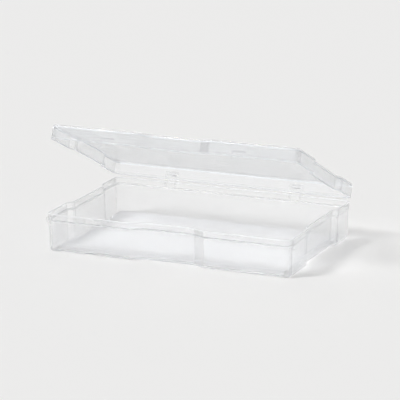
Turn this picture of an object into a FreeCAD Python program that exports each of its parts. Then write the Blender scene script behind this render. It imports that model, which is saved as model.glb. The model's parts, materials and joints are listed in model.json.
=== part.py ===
import FreeCAD, Part
import math
import os

from FreeCAD import Vector

# A shallow clear pencil case: a moulded tray and a moulded lid that clips on to
# two pins at the back. Millimetres, +Z up, +X to the right, -Y to the front.
# The lid's parts are made closed and then turned to the half-open rest position.

# tray
tray_length = 220.0
tray_depth = 142.0
tray_height = 32.6
wall = 1.3
corner_radius = 6.5
band_height = 6.2
band_step = 0.7
wall_draft = 0.7
base_round = 3.0

# lid
lid_height = 12.2
lid_overhang = 1.3
lid_draft = 0.2
lid_round = 1.8
lid_lip_height = 2.0
lid_lip_thickness = 2.6

# waisted front and sides, each a shallow recess with a sloping ramp at either end
front_recess_depth = 5.5
front_recess_half = 22.0
front_ramp = 10.5
side_recess_depth = 3.7
side_recess_front = -25.0
side_recess_rear = 34.0
side_ramp = 6.0
ramp_radius = 5.0

# raised floor panel
floor_rise = 3.2
gutter_width = 3.6
panel_slope = 1.6

# hinge
hinge_back = 3.9
hinge_up = 5.8
hinge_offset = 58.3
pin_radius = 1.25
pin_clearance = 0.08
clip_wall = 1.2
clip_width = 7.0
clip_mouth = 80.0
clip_arm = 2.0
ear_radius = 2.1
ear_thickness = 1.8
ear_side_gap = 0.4
ear_foot_top = 1.0
ear_foot_bottom = 6.0
ear_front_gap = 0.5
ear_heel = 30.0
lid_rest_angle = 25.0
rim_gap = 0.1

# closure
lug_offset = 58.7
lug_width = 11.7
lug_thickness = 1.2
lug_gap = 0.9
lug_drop = 3.6
lug_rise = 5.0
nose_out = 0.2
nose_height = 3.0
bead_out = 0.45
bead_half_height = 0.7
bead_depth_below_rim = 1.6
bead_width = 14.0

# grip nubs on the tray's two front corners
nub_from_front = 3.75
nub_length = 4.4
nub_height = 4.8
nub_below_rim = 4.4
nub_out = 2.2
nub_round = 0.9

smallest_radius = 0.4
round_steps = 2
cut_extra = 1.0

hinge_y = tray_depth / 2 + hinge_back
hinge_z = tray_height + hinge_up
clip_radius = pin_radius + pin_clearance + clip_wall
lid_rim_z = tray_height + rim_gap
origin_y = (hinge_y + clip_radius - tray_depth / 2) / 2


def plan_corners(half_x, half_y):
    """Sharp corners of the waisted plan outline, anticlockwise, each with its radius."""
    front = -half_y + front_recess_depth
    side = half_x - side_recess_depth
    front_out = front_recess_half + front_ramp
    first = side_recess_front - side_ramp
    last = side_recess_rear + side_ramp
    right = [
        (front_recess_half, front, ramp_radius),
        (front_out, -half_y, ramp_radius),
        (half_x, -half_y, corner_radius),
        (half_x, first, ramp_radius),
        (side, side_recess_front, ramp_radius),
        (side, side_recess_rear, ramp_radius),
        (half_x, last, ramp_radius),
        (half_x, half_y, corner_radius),
    ]
    left = [(-x, y, r) for x, y, r in reversed(right)]
    return right + left


def offset_corners(corners, inset):
    """The same outline moved inwards by inset: a list of (x, y, radius)."""
    count = len(corners)
    result = []
    for i in range(count):
        before = corners[i - 1]
        here = corners[i]
        after = corners[(i + 1) % count]
        ax, ay = here[0] - before[0], here[1] - before[1]
        bx, by = after[0] - here[0], after[1] - here[1]
        a_len = math.hypot(ax, ay)
        b_len = math.hypot(bx, by)
        ax, ay, bx, by = ax / a_len, ay / a_len, bx / b_len, by / b_len
        turn = ax * by - ay * bx
        lean = 1 + ax * bx + ay * by
        x = here[0] + inset * (-ay - by) / lean
        y = here[1] + inset * (ax + bx) / lean
        radius = here[2] - inset if turn > 0 else here[2] + inset
        result.append((x, y, max(radius, smallest_radius)))
    return result


def plan_wire(half_x, half_y, inset, z):
    """A closed wire of straight runs and arcs round the inset outline at height z."""
    corners = offset_corners(plan_corners(half_x, half_y), inset)
    count = len(corners)
    starts = []
    arcs = []
    for i in range(count):
        here = Vector(corners[i][0], corners[i][1], z)
        before = Vector(corners[i - 1][0], corners[i - 1][1], z)
        after = Vector(corners[(i + 1) % count][0], corners[(i + 1) % count][1], z)
        into = (here - before).normalize()
        out = (after - here).normalize()
        half_turn = into.getAngle(out) / 2
        trim = corners[i][2] * math.tan(half_turn)
        first = here - into * trim
        last = here + out * trim
        sag = corners[i][2] * (1 / math.cos(half_turn) - 1)
        middle = here + (out - into).normalize() * sag
        starts.append(first)
        arcs.append((first, middle, last))
    edges = []
    for i in range(count):
        first, middle, last = arcs[i]
        edges.append(Part.Arc(first, middle, last).toShape())
        edges.append(Part.LineSegment(last, starts[(i + 1) % count]).toShape())
    return Part.Wire(edges)


def plan_solid(half_x, half_y, sections):
    """A solid through the outline at each (height, inset) of sections."""
    pieces = []
    for low, high in zip(sections, sections[1:]):
        wires = [plan_wire(half_x, half_y, inset, z) for z, inset in (low, high)]
        pieces.append(Part.makeLoft(wires, True, True))
    solid = pieces[0]
    for piece in pieces[1:]:
        solid = solid.fuse(piece)
    return solid


def rounded_sections(height, radius, inset, upwards):
    """Sections of a quarter round at height, closing inwards downwards or upwards."""
    sections = []
    for step in range(round_steps + 1):
        angle = math.radians(90.0 * step / round_steps)
        rise = radius * (1 - math.cos(angle))
        pull = radius * (1 - math.sin(angle))
        sections.append((height + rise, inset + pull))
    if upwards:
        sections = [(2 * height - z, pull) for z, pull in reversed(sections)]
    return sections


def prism(points, start_x, width):
    """A (y, z) profile pushed out along X."""
    corners = [Vector(start_x, y, z) for y, z in points]
    face = Part.Face(Part.makePolygon(corners + corners[:1]))
    return face.extrude(Vector(width, 0, 0))


def mirrored(solid):
    """The solid and its mirror image on the other side of the case."""
    return Part.makeCompound([solid, solid.mirror(Vector(0, 0, 0), Vector(1, 0, 0))])


def tray_wall_inset(z):
    """How far the tray's outer wall stands inside the rim at height z."""
    below_band = (tray_height - band_height - z) / (tray_height - band_height)
    return band_step + wall_draft * below_band


def make_tray():
    half_x = tray_length / 2
    half_y = tray_depth / 2
    band_bottom = tray_height - band_height

    outside = rounded_sections(0.0, base_round, tray_wall_inset(0.0), False)
    outside.append((band_bottom, tray_wall_inset(band_bottom)))
    solid = plan_solid(half_x, half_y, outside)
    solid = solid.fuse(plan_solid(half_x, half_y, [(band_bottom, 0.0), (tray_height, 0.0)]))

    inner_round = base_round - wall
    inside = rounded_sections(wall, inner_round, tray_wall_inset(wall) + wall, False)
    ledge = band_bottom + wall
    inside.append((ledge, band_step + wall))
    solid = solid.cut(plan_solid(half_x, half_y, inside))
    opening = [(ledge, wall), (tray_height + cut_extra, wall)]
    solid = solid.cut(plan_solid(half_x, half_y, opening))

    foot = tray_wall_inset(0.0) + wall + gutter_width
    top = foot + panel_slope
    panel_top = wall + floor_rise
    solid = solid.fuse(plan_solid(half_x, half_y, [(0.0, foot), (panel_top, top)]))
    pocket = [(0.0, foot + wall), (floor_rise, top + wall)]
    solid = solid.cut(plan_solid(half_x, half_y, pocket))
    return solid.removeSplitter()


def make_lid():
    half_x = tray_length / 2 + lid_overhang
    half_y = tray_depth / 2 + lid_overhang
    rim = lid_rim_z
    top = lid_rim_z + lid_height

    outside = [(rim, 0.0)] + rounded_sections(top, lid_round, lid_draft, True)
    solid = plan_solid(half_x, half_y, outside)

    inner_round = lid_round - wall / 2
    inside = [(rim, wall)] + rounded_sections(top - wall, inner_round, lid_draft + wall, True)
    lip = [(rim - cut_extra, lid_lip_thickness), (rim + lid_lip_height, lid_lip_thickness)]
    hollow = plan_solid(half_x, half_y, inside)
    lip_ring = plan_solid(half_x, half_y, [(rim, wall / 2), (rim + lid_lip_height, wall / 2)])
    lip_ring = lip_ring.cut(plan_solid(half_x, half_y, lip))
    solid = solid.cut(hollow.cut(lip_ring))
    return solid.removeSplitter()


def make_hinge_bracket(tray):
    """Two ears on the tray's back wall with the pin between them."""
    wall_y = tray_depth / 2
    inner_gap = clip_width + 2 * ear_side_gap
    heel = math.radians(ear_heel)
    foot_front = tray_depth / 2 + lid_overhang + ear_front_gap
    profile = [
        (wall_y - wall / 2, tray_height - ear_foot_bottom),
        (wall_y - wall / 2, tray_height - ear_foot_top),
        (foot_front, tray_height - ear_foot_top),
        (hinge_y - ear_radius, hinge_z),
        (hinge_y, hinge_z),
        (hinge_y + ear_radius * math.cos(heel), hinge_z - ear_radius * math.sin(heel)),
    ]
    ears = []
    for start in (hinge_offset - inner_gap / 2 - ear_thickness, hinge_offset + inner_gap / 2):
        plate = prism(profile, start, ear_thickness)
        centre = Vector(start, hinge_y, hinge_z)
        knuckle = Part.makeCylinder(ear_radius, ear_thickness, centre, Vector(1, 0, 0))
        ears.append(plate.fuse(knuckle))
    pin_start = Vector(hinge_offset - inner_gap / 2 - ear_thickness / 2, hinge_y, hinge_z)
    pin = Part.makeCylinder(pin_radius, inner_gap + ear_thickness, pin_start, Vector(1, 0, 0))
    bracket = ears[0].fuse([ears[1], pin])
    return bracket.cut(tray).removeSplitter()


def make_hinge_clip(lid):
    """A C-shaped clip on the lid's back wall that snaps over the pin."""
    start = Vector(hinge_offset - clip_width / 2, hinge_y, hinge_z)
    along = Vector(1, 0, 0)
    wall_y = tray_depth / 2 + lid_overhang
    ring = Part.makeCylinder(clip_radius, clip_width, start, along)
    arm_length = hinge_y - wall_y + wall / 2
    arm_corner = Vector(start.x, hinge_y - arm_length, hinge_z - clip_arm / 2)
    ring = ring.fuse(Part.makeBox(clip_width, arm_length, clip_arm, arm_corner))
    ring = ring.cut(Part.makeCylinder(pin_radius + pin_clearance, clip_width, start, along))
    half_mouth = math.radians(clip_mouth / 2)
    reach = clip_radius + cut_extra
    spread = reach * math.tan(half_mouth)
    mouth = [
        (hinge_y, hinge_z),
        (hinge_y - spread, hinge_z - reach),
        (hinge_y + spread, hinge_z - reach),
    ]
    ring = ring.cut(prism(mouth, start.x, clip_width))
    return ring.cut(lid).removeSplitter()


def make_snap_lug(lid):
    """A tongue inside the lid's front wall that drops behind the tray's front bead."""
    wall_in = -tray_depth / 2 - lid_overhang + wall
    lip_in = -tray_depth / 2 - lid_overhang + lid_lip_thickness
    rim = lid_rim_z
    outer = -tray_depth / 2 + wall + lug_gap
    inner = outer + lug_thickness
    lip_top = rim + lid_lip_height
    profile = [
        (wall_in, lip_top),
        (wall_in, rim + lug_rise),
        (wall_in + lug_thickness, rim + lug_rise),
        (inner, rim + lug_rise - lug_thickness),
        (inner, rim - lug_drop),
        (outer + nose_out, rim - lug_drop),
        (outer - nose_out, rim - nose_height),
        (outer, rim - nose_height + 2 * nose_out),
        (outer, rim),
        (lip_in, rim + lug_gap),
        (lip_in, lip_top),
    ]
    return prism(profile, lug_offset - lug_width / 2, lug_width).cut(lid)


def make_catch_bead():
    """A low bead inside the tray's rim that the lug's nose passes under."""
    face_y = -tray_depth / 2 + wall
    middle = tray_height - bead_depth_below_rim
    profile = [
        (face_y, middle - bead_half_height),
        (face_y + bead_out, middle),
        (face_y, middle + bead_half_height),
    ]
    return prism(profile, lug_offset - bead_width / 2, bead_width)


def make_grip_nub(tray):
    """A small rounded nub on the side of the tray's front corner."""
    inner_x = tray_length / 2 - band_step - wall
    depth = nub_out + band_step + wall
    corner = Vector(inner_x, nub_from_front - tray_depth / 2 - nub_length / 2 + corner_radius / 2,
                    tray_height - nub_below_rim - nub_height)
    block = Part.makeBox(depth, nub_length, nub_height, corner)
    outer_edges = [e for e in block.Edges if e.CenterOfMass.x > inner_x + depth - nub_round]
    block = block.makeFillet(nub_round, outer_edges)
    block = block.cut(tray)
    return max(block.Solids, key=lambda solid: solid.CenterOfMass.x)


def open_lid(solid):
    """The closed lid's piece turned about the hinge to the rest position."""
    turned = solid.copy()
    turned.rotate(Vector(0, hinge_y, hinge_z), Vector(-1, 0, 0), lid_rest_angle)
    return turned


def write(name, solid):
    placed = solid.copy()
    placed.translate(Vector(0, -origin_y, 0))
    placed.exportStep("parts/" + name + ".step")
    box = placed.BoundBox
    print(name, len(placed.Solids), placed.isValid(), round(placed.Volume, 1),
          [round(v, 2) for v in (box.XMin, box.XMax, box.YMin, box.YMax, box.ZMin, box.ZMax)])


os.makedirs("parts", exist_ok=True)

tray = make_tray()
lid = make_lid()

write("tray", tray)
write("hinge_brackets", mirrored(make_hinge_bracket(tray)))
write("catch_beads", mirrored(make_catch_bead()))
write("grip_nubs", mirrored(make_grip_nub(tray)))
write("lid", open_lid(lid))
write("hinge_clips", open_lid(mirrored(make_hinge_clip(lid))))
write("snap_lugs", open_lid(mirrored(make_snap_lug(lid))))
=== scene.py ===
import json
import math
import bmesh
import bpy
from mathutils import Matrix, Vector


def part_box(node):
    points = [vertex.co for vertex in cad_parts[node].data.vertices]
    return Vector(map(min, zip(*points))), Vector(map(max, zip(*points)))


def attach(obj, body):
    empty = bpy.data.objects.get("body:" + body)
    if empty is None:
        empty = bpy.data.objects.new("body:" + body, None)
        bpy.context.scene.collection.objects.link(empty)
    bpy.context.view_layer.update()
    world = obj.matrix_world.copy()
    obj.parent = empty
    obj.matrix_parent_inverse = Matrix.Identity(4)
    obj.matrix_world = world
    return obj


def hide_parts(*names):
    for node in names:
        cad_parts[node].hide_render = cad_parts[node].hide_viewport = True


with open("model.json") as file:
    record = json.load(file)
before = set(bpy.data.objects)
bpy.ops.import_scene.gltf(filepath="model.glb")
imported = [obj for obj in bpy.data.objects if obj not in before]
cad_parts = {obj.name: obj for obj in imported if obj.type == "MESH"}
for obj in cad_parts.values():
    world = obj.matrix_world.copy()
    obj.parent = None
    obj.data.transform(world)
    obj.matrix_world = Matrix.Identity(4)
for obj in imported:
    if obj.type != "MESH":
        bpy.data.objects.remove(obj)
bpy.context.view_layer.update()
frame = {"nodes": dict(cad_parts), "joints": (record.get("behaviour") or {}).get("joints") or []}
mm = 0.001  # the settings below are in millimetres
print("frame loaded")

trayLow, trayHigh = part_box("tray")
caseY = (trayLow.y + trayHigh.y) / 2  # middle of the tray, front to back
rimZ = trayHigh.z
hinge = Vector(frame["joints"][0]["pos_m"])
restTurn = math.radians(frame["joints"][0]["range_deg"][0])  # turns the closed lid up to where it rests

outline = {
    "length": (trayHigh.x - trayLow.x) / mm, "depth": (trayHigh.y - trayLow.y) / mm,
    "cornerTrim": 6.5, "cornerCuts": 9, "cornerMargin": 1.0,  # ramps start past the corner by the margin
    "frontHalf": 22.0, "frontRun": 10.5, "frontDepth": 5.5,
    "sideFront": -25.0, "sideRear": 34.0, "sideRun": 6.0, "sideDepth": 3.7,
    "rampTrim": 1.3, "rampCuts": 4,
    "near": 0.1,  # a point this close to a line counts as on it
}

tell = {  # how points, edges and faces are told apart
    "straight": -0.9999,  # two edges run on in one line
    "sides": 8,  # the face with the case's outline has more sides than this
    "level": 0.01,  # an edge this close to a height is at it
    "wall": 0.5, "lipWall": 0.3, "floor": 0.7,  # upward part of a face's normal
}


# working in edit mode

def pick(kind, test):  # selects only the points, edges or faces that pass the test
    bpy.ops.mesh.select_all(action="DESELECT")
    bpy.ops.mesh.select_mode(type=kind)
    mesh = bpy.context.active_object.data
    bm = bmesh.from_edit_mesh(mesh)
    for item in {"VERT": bm.verts, "EDGE": bm.edges, "FACE": bm.faces}[kind]:
        points = [item.co] if kind == "VERT" else [v.co for v in item.verts]
        middle = sum(points, Vector()) / len(points)
        if test(middle, item):
            item.select_set(True)
    bm.select_flush_mode()
    bmesh.update_edit_mesh(mesh)


def pickAllFaces():
    bpy.ops.mesh.select_all(action="SELECT")
    bpy.ops.mesh.select_mode(type="FACE")


def isStraight(v):
    ways = [(e.other_vert(v).co - v.co).normalized() for e in v.link_edges]
    return len(ways) == 2 and ways[0].dot(ways[1]) < tell["straight"]


def isOutline(f):
    return len(f.verts) > tell["sides"]


def cutAcross(point, normal):
    bpy.ops.mesh.select_all(action="SELECT")
    bpy.ops.mesh.bisect(plane_co=point, plane_no=normal)


def planPlate(name, grow, z):  # one flat face with the case's waisted outline
    halfX = outline["length"] / 2 + grow
    halfY = outline["depth"] / 2 + grow
    bpy.ops.object.select_all(action="DESELECT")
    bpy.ops.mesh.primitive_plane_add(size=2, location=(0, caseY, z))
    plate = bpy.context.active_object
    plate.name = name
    plate.scale = (halfX * mm, halfY * mm, 1)
    bpy.ops.object.transform_apply(location=True, rotation=True, scale=True)
    bpy.ops.object.mode_set(mode="EDIT")

    for x in (outline["frontHalf"], outline["frontHalf"] + outline["frontRun"]):
        for side in (-1, 1):
            cutAcross((side * x * mm, 0, z), (1, 0, 0))
    sideStart = outline["sideFront"] - outline["sideRun"]
    sideEnd = outline["sideRear"] + outline["sideRun"]
    for y in (sideStart, outline["sideFront"], outline["sideRear"], sideEnd):
        cutAcross((0, caseY + y * mm, z), (0, 1, 0))

    near = outline["near"] * mm
    frontY = caseY - halfY * mm + near
    frontX = outline["frontHalf"] * mm + near
    pick("VERT", lambda p, v: p.y < frontY and abs(p.x) < frontX)
    bpy.ops.transform.translate(value=(0, outline["frontDepth"] * mm, 0))
    low = caseY + outline["sideFront"] * mm - near
    high = caseY + outline["sideRear"] * mm + near
    for side in (-1, 1):
        pick("VERT", lambda p, v: side * p.x > halfX * mm - near and low < p.y < high)
        bpy.ops.transform.translate(value=(-side * outline["sideDepth"] * mm, 0, 0))
    bpy.ops.mesh.select_all(action="SELECT")
    bpy.ops.mesh.dissolve_faces()
    pick("VERT", lambda p, v: isStraight(v))
    bpy.ops.mesh.dissolve_verts()

    pick("VERT", lambda p, v: abs(p.x) > halfX * mm - near and abs(p.y - caseY) > halfY * mm - near)
    bpy.ops.mesh.bevel(offset=outline["cornerTrim"] * mm, segments=outline["cornerCuts"], affect="VERTICES")
    farX = (halfX - outline["cornerTrim"] - outline["cornerMargin"]) * mm
    farY = (halfY - outline["cornerTrim"] - outline["cornerMargin"]) * mm
    pick("VERT", lambda p, v: abs(p.x) < farX or abs(p.y - caseY) < farY)
    bpy.ops.mesh.bevel(offset=outline["rampTrim"] * mm, segments=outline["rampCuts"], affect="VERTICES")
    return plate


def roundedLine(points, cuts):  # (inset, height, radius) corners to a line with its corners rounded
    line = [Vector(points[0][:2])]
    for before, here, after in zip(points, points[1:], points[2:]):
        corner = Vector(here[:2])
        back = (Vector(before[:2]) - corner).normalized()
        ahead = (Vector(after[:2]) - corner).normalized()
        turn = math.pi - back.angle(ahead)
        reach = here[2] * math.tan(turn / 2)
        middle = corner + (back + ahead).normalized() * here[2] / math.cos(turn / 2)
        start = corner + back * reach - middle
        side = 1 if back.x * ahead.y - back.y * ahead.x > 0 else -1
        for step in range(cuts + 1):
            swing = side * turn * step / cuts
            line.append(middle + Matrix.Rotation(-swing, 2) @ start)
    line.append(Vector(points[-1][:2]))
    return line


def followWall(line, down):  # insets the face step by step along the wall's section
    for before, here in zip(line, line[1:]):
        change = here - before
        depth = -change.y if down else change.y
        bpy.ops.mesh.inset(thickness=change.x * mm, depth=depth * mm, use_even_offset=True)


def closeArcs(step, longest):  # one flat step in, with each rounded corner drawn together to a point
    bpy.ops.mesh.inset(thickness=step * mm, depth=0, use_even_offset=True)
    pick("EDGE", lambda p, e: e.calc_length() < longest * mm and any(isOutline(f) for f in e.link_faces))
    bpy.ops.mesh.merge(type="COLLAPSE")
    pick("FACE", lambda p, f: isOutline(f))


def roundRim(z, size, cuts):  # breaks the edges where an upright wall ends at this height
    pick("EDGE", lambda p, e: abs(p.z - z) < tell["level"] * mm
         and any(abs(f.normal.z) < tell["wall"] for f in e.link_faces))
    bpy.ops.mesh.bevel(offset=size * mm, segments=cuts, affect="EDGES")


# working on whole pieces

def choose(piece):
    bpy.ops.object.select_all(action="DESELECT")
    piece.select_set(True)
    bpy.context.view_layer.objects.active = piece


def applyModifier(piece, kind, **settings):
    modifier = piece.modifiers.new("work", kind)
    for setting, value in settings.items():
        setattr(modifier, setting, value)
    choose(piece)
    bpy.ops.object.modifier_apply(modifier="work")


def thicken(piece, wall):  # the drawn face is the outside, and the wall is added inwards
    applyModifier(piece, "SOLIDIFY", thickness=wall * mm, offset=-1, use_even_offset=True,
                  use_quality_normals=True)


shading = {"angle": 32, "weight": 50}  # sharpest edge that shades smoothly, and the pull of wide faces


def finishPiece(piece):  # rounded edges shade smoothly, and wide faces stay flat
    choose(piece)
    bpy.ops.object.shade_smooth_by_angle(angle=math.radians(shading["angle"]))
    applyModifier(piece, "WEIGHTED_NORMAL", keep_sharp=True, weight=shading["weight"])


def turnUp(piece):  # from closed to the half-open rest position
    swing = Matrix.Rotation(restTurn, 4, "X")
    piece.matrix_world = Matrix.Translation(hinge) @ swing @ Matrix.Translation(-hinge)
    choose(piece)
    bpy.ops.object.transform_apply(location=True, rotation=True, scale=True)


# the tray

tray = {
    "wall": 1.3, "height": rimZ / mm, "band": 6.2, "step": 0.7, "stepDrop": 0.15, "draft": 0.7,
    "foot": 7.6, "slope": 1.6, "floorRise": 3.2, "floorRun": 3.0,
    "baseRound": 3.0, "ledgeRound": 0.45, "slopeRound": 0.8, "roundCuts": 4,
    "rimRound": 0.4, "rimCuts": 3,
    "flat": 0.001, "closeStep": 1.3, "arcCut": 2.5,  # under the floor the outline's arcs close to points
    "panelTop": 5.0,  # the frosted faces lie below this height
}


def traySection():  # down the wall from the rim, under the foot and up to the raised floor
    ledge = tray["height"] - tray["band"]
    panel = tray["foot"] + tray["slope"]
    return roundedLine([
        (0, tray["height"], 0),
        (0, ledge, tray["ledgeRound"]),
        (tray["step"], ledge - tray["stepDrop"], tray["ledgeRound"] / 2),
        (tray["step"] + tray["draft"], 0, tray["baseRound"]),
        (tray["foot"], 0, tray["slopeRound"]),
        (panel, tray["floorRise"], tray["slopeRound"]),
        (panel + tray["floorRun"], tray["floorRise"], 0),
    ], tray["roundCuts"])


def frostPanel(shell):  # the raised floor takes the second material
    panelX = (outline["length"] / 2 - tray["foot"]) * mm
    panelY = (outline["depth"] / 2 - tray["foot"]) * mm
    pick("FACE", lambda p, f: p.z < tray["panelTop"] * mm and abs(f.normal.z) > tell["floor"]
         and abs(p.x) < panelX and abs(p.y - caseY) < panelY)
    shell.active_material_index = 1
    bpy.ops.object.material_slot_assign()


def makeTray():
    shell = planPlate("tray_shell", 0, rimZ)
    pickAllFaces()
    bpy.ops.mesh.flip_normals()
    section = traySection()
    landing = next(i for i, point in enumerate(section) if point.y < tray["flat"])
    followWall(section[:landing + 1], True)
    closeArcs(tray["closeStep"], tray["arcCut"])
    followWall([section[landing] + Vector((tray["closeStep"], 0))] + section[landing + 1:], True)
    bpy.ops.object.mode_set(mode="OBJECT")
    thicken(shell, tray["wall"])
    bpy.ops.object.mode_set(mode="EDIT")
    roundRim(rimZ, tray["rimRound"], tray["rimCuts"])
    shell.data.materials.append(clearTray)
    shell.data.materials.append(frosted)
    frostPanel(shell)
    bpy.ops.object.mode_set(mode="OBJECT")
    finishPiece(shell)
    return shell


# the lid, made closed and then turned up

lid = {
    "wall": 1.3, "gap": 0.1, "height": 12.2, "overhang": 1.3, "draft": 0.2,
    "topRound": 1.8, "topRun": 3.0, "roundCuts": 5,
    "lipHeight": 2.0, "lipOut": 1.3, "rimRound": 0.4, "rimCuts": 3,
}


def lidSection():  # up the lip and the wall from the rim, and onto the top
    return [Vector((0, 0)), Vector((0, lid["lipHeight"]))] + roundedLine([
        (0, lid["lipHeight"], 0),
        (lid["draft"], lid["height"], lid["topRound"]),
        (lid["draft"] + lid["topRun"], lid["height"], 0),
    ], lid["roundCuts"])[1:]


def makeLid():
    low = rimZ + lid["gap"] * mm
    lipTop = low + lid["lipHeight"] * mm
    shell = planPlate("lid_shell", lid["overhang"], low)
    pickAllFaces()
    followWall(lidSection(), False)
    bpy.ops.object.mode_set(mode="OBJECT")
    thicken(shell, lid["wall"])
    bpy.ops.object.mode_set(mode="EDIT")

    def isLip(p, f):
        inward = f.normal.x * p.x + f.normal.y * (p.y - caseY) < 0
        return p.z < lipTop and abs(f.normal.z) < tell["lipWall"] and inward

    pick("FACE", isLip)
    bpy.ops.mesh.extrude_region_shrink_fatten(
        TRANSFORM_OT_shrink_fatten={"value": lid["lipOut"] * mm, "use_even_offset": True})
    roundRim(low, lid["rimRound"], lid["rimCuts"])
    bpy.ops.object.mode_set(mode="OBJECT")
    turnUp(shell)
    finishPiece(shell)
    return shell


# materials

class Wire:  # a socket that Python sums can be written on
    def __init__(self, recipe, socket):
        self.recipe, self.socket = recipe, socket

    def sum(self, operation, first, second):
        return self.recipe.node("ShaderNodeMath", {"operation": operation}, {0: first, 1: second})

    def __add__(self, other):
        return self.sum("ADD", self, other)

    def __radd__(self, other):
        return self.sum("ADD", other, self)

    def __mul__(self, other):
        return self.sum("MULTIPLY", self, other)

    def __rmul__(self, other):
        return self.sum("MULTIPLY", other, self)


class Recipe:  # one material or world, and its nodes
    def __init__(self, holder):
        holder.use_nodes = True
        self.holder, self.tree = holder, holder.node_tree
        self.tree.nodes.clear()

    def node(self, kind, settings=None, inputs=None, out=0):
        made = self.tree.nodes.new(kind)
        for key, value in (settings or {}).items():
            if key == "stops":
                ramp = made.color_ramp
                while len(ramp.elements) < len(value):
                    ramp.elements.new(0.5)
                for element, (place, colour) in zip(ramp.elements, value):
                    element.position, element.color = place, colour
            else:
                setattr(made, key, value)
        for key, value in (inputs or {}).items():
            if isinstance(value, Wire):
                self.tree.links.new(value.socket, made.inputs[key])
            else:
                made.inputs[key].default_value = value
        return Wire(self, made.outputs[out]) if made.outputs else made


plastic = {
    "colour": (0.985, 0.99, 0.995, 1), "edgeColour": (0.965, 0.975, 0.99, 1), "ior": 1.49,
    "edgeBlend": 0.35,
    "clouds": 60.0, "flow": 22.0, "scratches": (35.0, 900.0, 900.0),  # pattern sizes
    "relief": 0.00012, "bump": 0.15, "scratchHeight": 0.12, "grainHeight": 0.9,
    "cloudRough": 0.05, "scratchRough": 0.04, "milkRough": 0.5,
    "milkPatchy": 0.5, "milkEven": 0.75,  # share of the milk that follows the clouds, and that doesn't
}
trayFinish = {
    "milk": 0.05, "milkColour": (0.95, 0.96, 0.975, 1), "gloss": 0.02, "alpha": 0.5, "grain": 0,
    "shadow": (0.68, 0.68, 0.685, 1), "turn": 0,
    "edges": [(32.3, 0.35, 0.55), (26.3, 0.3, 0.4)],  # painted highlight bands: height, reach, amount, on the closed case
}
lidFinish = {
    "milk": 0.07, "milkColour": (0.9, 0.925, 0.965, 1), "gloss": 0.03, "alpha": 0.5, "grain": 0,
    "shadow": (0.84, 0.84, 0.84, 1), "turn": restTurn,
    # painted highlight bands along the lid's edges: height, reach, amount
    "edges": [(42.9, 0.4, 0.5), (33.0, 0.3, 0.35)],
}
smallFinish = {
    "milk": 0.02, "milkColour": (0.96, 0.97, 0.98, 1), "gloss": 0.04, "alpha": 0.22, "grain": 0,
    "shadow": (0.95, 0.95, 0.95, 1), "edges": [],
}
frostFinish = {
    "milk": 0.42, "milkColour": (0.91, 0.92, 0.94, 1), "gloss": 0.35, "alpha": 0.6, "grain": 2600.0,
    "shadow": (0.8, 0.8, 0.805, 1), "edges": [],
}


def paintedEdgeHighlight(node, place, finish):  # painted highlight: the milk is raised in bands at set heights, standing in for light that runs along inside the wall and leaves at its edges
    up = Matrix.Rotation(finish["turn"], 3, "X") @ Vector((0, 0, 1))
    along = node("ShaderNodeVectorMath", {"operation": "DOT_PRODUCT"}, {0: place, 1: up}, out="Value")
    level = along + (hinge.z - hinge.dot(up))
    # the painted highlight, summed over the bands
    glow = 0
    for height, reach, amount in finish["edges"]:
        line = node("ShaderNodeMath", {"operation": "COMPARE"}, {0: level, 1: height * mm, 2: reach * mm})
        glow = line * amount + glow
    return glow


def clearPlastic(name, finish):
    recipe = Recipe(bpy.data.materials.new(name))
    node = recipe.node
    place = node("ShaderNodeTexCoord", out="Object")
    clouds = node("ShaderNodeTexNoise", {}, {"Vector": place, "Scale": plastic["clouds"], "Detail": 2.0})
    flow = node("ShaderNodeTexNoise", {}, {"Vector": place, "Scale": plastic["flow"], "Detail": 1.0})
    along = node("ShaderNodeMapping", {}, {"Vector": place, "Scale": plastic["scratches"]})
    scratches = node("ShaderNodeTexNoise", {}, {"Vector": along, "Scale": 1.0, "Detail": 2.0})
    height = flow + scratches * plastic["scratchHeight"]
    if finish["grain"]:
        grain = node("ShaderNodeTexNoise", {}, {"Vector": place, "Scale": finish["grain"], "Detail": 3.0})
        height = height + grain * plastic["grainHeight"]
    relief = node("ShaderNodeBump", {}, {
        "Strength": plastic["bump"], "Distance": plastic["relief"], "Height": height})
    rough = clouds * plastic["cloudRough"] + scratches * plastic["scratchRough"] + finish["gloss"]
    facing = node("ShaderNodeLayerWeight", {}, {"Blend": plastic["edgeBlend"]}, out="Facing")
    tint = node("ShaderNodeMix", {"data_type": "RGBA"}, {
        "Factor": facing, 6: plastic["colour"], 7: plastic["edgeColour"]}, out=2)
    body = node("ShaderNodeBsdfPrincipled", {}, {
        "Base Color": tint, "Roughness": rough, "IOR": plastic["ior"], "Transmission Weight": 1.0,
        "Alpha": finish["alpha"], "Normal": relief})
    cloudy = node("ShaderNodeBsdfPrincipled", {}, {
        "Base Color": finish["milkColour"], "Roughness": plastic["milkRough"],
        "IOR": plastic["ior"], "Normal": relief})
    milk = clouds * (finish["milk"] * plastic["milkPatchy"]) + finish["milk"] * plastic["milkEven"]
    # painted highlight: whiter milk in bands along the edges
    if finish["edges"]:
        milk = milk + paintedEdgeHighlight(node, place, finish)
    mixed = node("ShaderNodeMixShader", {}, {0: milk, 1: body, 2: cloudy})
    lamps = node("ShaderNodeBsdfTransparent", {}, {"Color": finish["shadow"]})
    shadowRay = node("ShaderNodeLightPath", out="Is Shadow Ray")
    surface = node("ShaderNodeMixShader", {}, {0: shadowRay, 1: mixed, 2: lamps})
    node("ShaderNodeOutputMaterial", {}, {0: surface})
    return recipe.holder


clearTray = clearPlastic("clearTray", trayFinish)
clearLid = clearPlastic("clearLid", lidFinish)
frosted = clearPlastic("frostedPlastic", frostFinish)
clearFittings = clearPlastic("clearFittings", smallFinish)
trayShell = makeTray()
print("tray made")
lidShell = makeLid()
print("lid made")
lidShell.data.materials.append(clearLid)
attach(trayShell, "tray")
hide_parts("tray")
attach(lidShell, "lid")
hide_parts("lid")

fitting = {"weld": 0.005, "round": 0.12, "cuts": 2, "angle": 35}  # small moulded details, edges just broken


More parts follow.
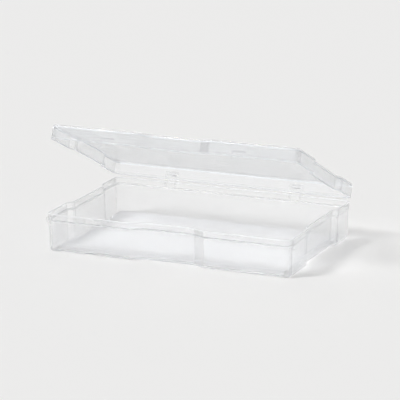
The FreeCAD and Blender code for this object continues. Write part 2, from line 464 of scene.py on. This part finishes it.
def dressFitting(part):
    for slot in part.material_slots:
        slot.material = clearFittings
    weld = part.modifiers.new("weld", "WELD")
    weld.merge_threshold = fitting["weld"] * mm
    rounding = part.modifiers.new("rounding", "BEVEL")
    rounding.width = fitting["round"] * mm
    rounding.segments = fitting["cuts"]
    rounding.angle_limit = math.radians(fitting["angle"])


for name in ("hinge_brackets", "catch_beads", "grip_nubs", "hinge_clips", "snap_lugs"):
    dressFitting(frame["nodes"][name])
print("fittings dressed")

# camera, floor and light

camera = {
    "azimuth": 23.19, "elevation": 14.43, "distance": 2.3127, "aim": (0.0001, -0.00304, 0.03856),
    "lens": 247.13, "sensor": 36, "farthest": 50,
}


def makeCamera():
    bpy.ops.object.camera_add()
    eye = bpy.context.active_object
    eye.name = "camera"
    turn, tilt = math.radians(camera["azimuth"]), math.radians(camera["elevation"])
    away = Vector((math.sin(turn) * math.cos(tilt), -math.cos(turn) * math.cos(tilt), math.sin(tilt)))
    eye.location = Vector(camera["aim"]) + away * camera["distance"]
    eye.rotation_euler = (-away).to_track_quat("-Z", "Y").to_euler()
    eye.data.lens = camera["lens"]
    eye.data.sensor_width = camera["sensor"]
    eye.data.clip_end = camera["farthest"]
    bpy.context.scene.camera = eye


def grey(level):
    return (level, level, level, 1)


ground = {"size": 30, "drop": 0.00005, "tone": 0.86}  # metres, just clear of the foot


def makeFloor():
    bpy.ops.object.select_all(action="DESELECT")
    bpy.ops.mesh.primitive_plane_add(size=ground["size"], location=(0, 0, -ground["drop"]))
    floor = bpy.context.active_object
    floor.name = "floor"
    material = bpy.data.materials.new("paleFloor")
    material.use_nodes = True
    body = material.node_tree.nodes["Principled BSDF"]
    body.inputs["Base Color"].default_value = grey(ground["tone"])
    body.inputs["Roughness"].default_value = 1
    body.inputs["Specular IOR Level"].default_value = 0
    floor.data.materials.append(material)


room = {"up": 1.0, "side": 0.6, "full": 0.55, "strength": 0.495}


def makeWorld():
    recipe = Recipe(bpy.data.worlds.new("studio"))
    node = recipe.node
    bpy.context.scene.world = recipe.holder
    way = node("ShaderNodeTexCoord", out="Generated")
    height = node("ShaderNodeSeparateXYZ", {}, {0: way}, out="Z")
    glow = node("ShaderNodeValToRGB", {"stops": [
        (0.0, grey(room["side"])), (room["full"], grey(room["up"]))]}, {0: height})
    back = node("ShaderNodeBackground", {}, {"Color": glow, "Strength": room["strength"]})
    node("ShaderNodeOutputWorld", {}, {0: back})


keyLamp = {"from": (-0.50, -0.46, 0.73), "softness": 15, "strength": 1.95, "colour": (1, 1, 1)}
rearLamp = {"from": (-0.38, 0.62, 0.69), "softness": 7, "strength": 0.2, "colour": (1, 0.92, 0.78)}


def makeLamp(name, lamp):  # a large far window, so that the light on the floor is even
    bpy.ops.object.light_add(type="SUN", location=lamp["from"])
    window = bpy.context.active_object
    window.name = name
    window.rotation_euler = Vector(lamp["from"]).to_track_quat("Z", "Y").to_euler()
    window.data.angle = math.radians(lamp["softness"])
    window.data.energy = lamp["strength"]
    window.data.color = lamp["colour"]


# light crosses many walls of clear plastic before it leaves
bounces = {
    "max_bounces": 48, "transmission_bounces": 48, "glossy_bounces": 24,
    "transparent_max_bounces": 48, "diffuse_bounces": 6,
}

makeCamera()
makeFloor()
makeWorld()
makeLamp("keyLamp", keyLamp)
makeLamp("rearLamp", rearLamp)
bpy.context.scene.view_settings.view_transform = "Standard"
for setting, count in bounces.items():
    setattr(bpy.context.scene.cycles, setting, count)
print("camera, floor and light made")
